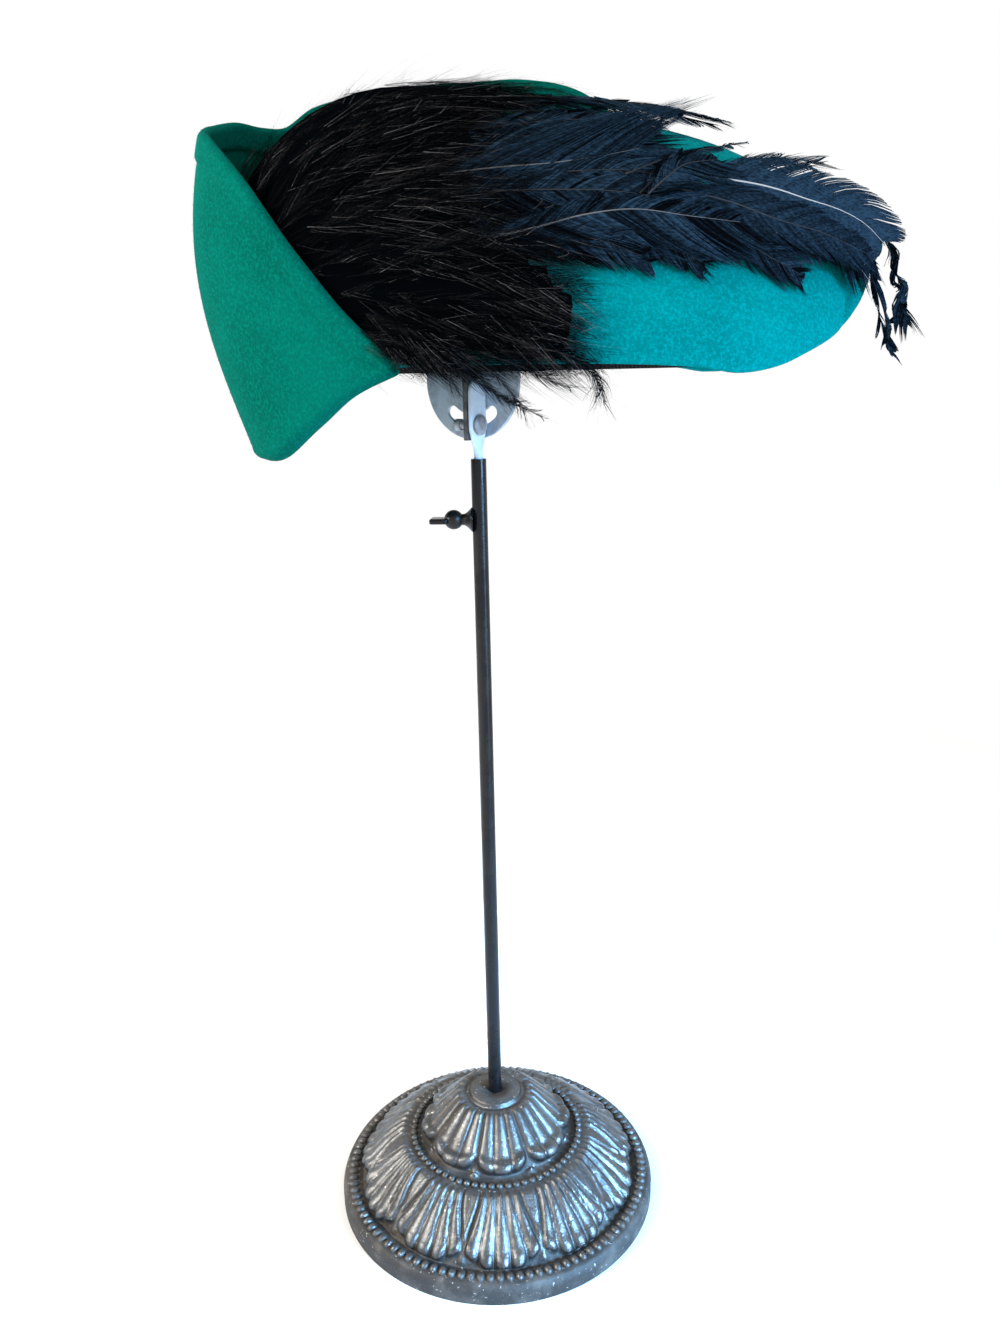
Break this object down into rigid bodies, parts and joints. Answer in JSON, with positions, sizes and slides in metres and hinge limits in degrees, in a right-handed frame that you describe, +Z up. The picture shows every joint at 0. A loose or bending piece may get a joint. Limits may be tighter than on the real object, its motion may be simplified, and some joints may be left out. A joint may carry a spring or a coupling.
{
  "type": "feather hat on a display stand",
  "caption": "Turned-up felt hat with a tall back flap, a heap of soft dark feathers and long plumes, on a slim metal stand with a round cast foot.",
  "frame": {"origin": "on the ground under the middle of the stand's round base", "axes": "+Z up along the stand's tube, +X towards the narrow end of the hat, -Y towards the side that the picture shows"},
  "size_m": [0.2721, 0.1734, 0.5156],
  "materials": {
    "felt": "teal wool felt with a short fuzzy nap",
    "ribbon": "black grosgrain ribbon",
    "hackle": "soft brown-black feathers with pale shafts",
    "coque": "glossy blue-black feathers",
    "casting": "aged grey-brown casting, worn bright on its edges",
    "black_steel": "worn semi-gloss black enamel",
    "zinc_steel": "dull zinc with stains",
    "rusty_steel": "rusty steel"
  },
  "bodies": {
    "root": {"base_casting": "casting", "tube": "black_steel", "thumb_screw": "black_steel", "slide_rod": "zinc_steel", "hat_plate": "zinc_steel", "rivet": "rusty_steel", "crown_support": "black_steel", "felt_crown": "felt", "turned_brim": "felt", "head_ribbon": "ribbon", "hackle_feathers": "hackle", "spray_upper": "coque", "spray_middle": "coque", "spray_lower": "coque", "curl_inner": "coque", "curl_outer": "coque", "wisp_left": "hackle", "wisp_right": "hackle"}
  },
  "joints": []
}
